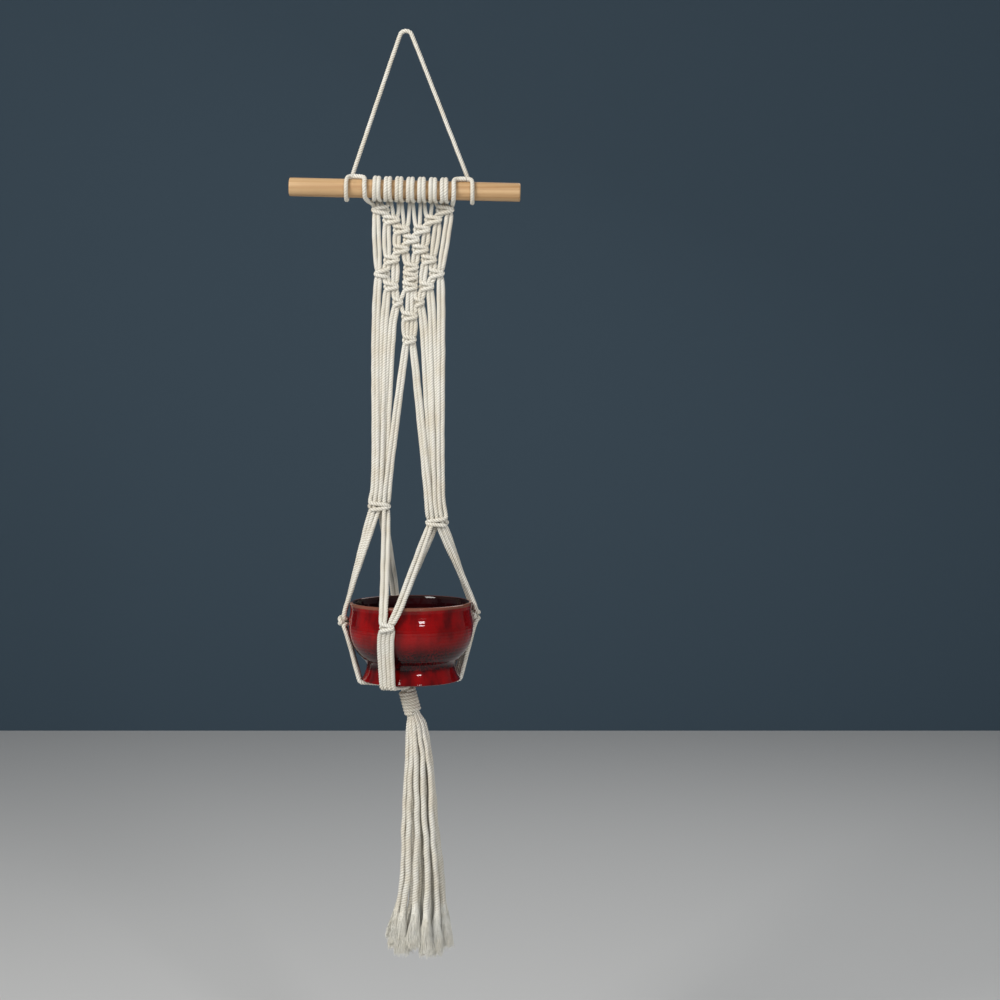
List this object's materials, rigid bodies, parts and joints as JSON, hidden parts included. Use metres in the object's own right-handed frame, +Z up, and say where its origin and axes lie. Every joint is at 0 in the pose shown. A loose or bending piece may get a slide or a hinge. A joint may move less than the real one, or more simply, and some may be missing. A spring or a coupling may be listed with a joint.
{
  "type": "macrame plant hanger",
  "caption": "Knotted cotton cord hanger on a wooden dowel that cradles a glazed pot above a gathered tassel and hangs from a hook.",
  "frame": {"origin": "the seat of the hanging loop, where the inside of its top rests on a hook", "axes": "+Z up along the hanger, +X to the right as seen from the front, along the dowel's level direction, +Y to the back"},
  "size_m": [0.2002, 0.1231, 0.8036],
  "materials": {
    "wood": "pale sanded softwood",
    "glaze": "deep red gloss glaze",
    "cotton": "natural twisted cotton"
  },
  "bodies": {
    "loop": {"hanging_loop": "cotton"},
    "macrame": {"left_outer_strand": "cotton", "right_outer_strand": "cotton", "cord_1": "cotton", "cord_2": "cotton", "cord_3": "cotton", "cord_4": "cotton", "cord_5": "cotton", "cord_6": "cotton", "cord_7": "cotton", "gathering_wrap": "cotton", "tassel_tail_01": "cotton", "tassel_tail_02": "cotton", "tassel_tail_03": "cotton", "tassel_tail_04": "cotton", "tassel_tail_05": "cotton", "tassel_tail_06": "cotton", "tassel_tail_07": "cotton", "tassel_tail_08": "cotton", "tassel_tail_09": "cotton", "tassel_tail_10": "cotton", "tassel_tail_11": "cotton", "tassel_tail_12": "cotton", "tassel_tail_13": "cotton", "tassel_tail_14": "cotton", "tassel_tail_15": "cotton", "tassel_tail_16": "cotton"},
    "rod": {"dowel": "wood"},
    "planter": {"pot": "glaze"}
  },
  "joints": [
    {"name": "swing", "type": "hinge", "parent": "loop", "child": "macrame", "pos_m": [-0.0013, 0, -0.134], "axis": [0.9997, 0, -0.0244], "range_deg": [-30, 30]},
    {"name": "dowel_slide", "type": "slide", "parent": "macrame", "child": "rod", "axis": [0.9997, 0, -0.0244], "range_m": [-0.035, 0.035]},
    {"name": "pot_turn", "type": "hinge", "parent": "macrame", "child": "planter", "pos_m": [0.003, 0, -0.5625], "axis": [0, 0, 1], "continuous": true}
  ]
}
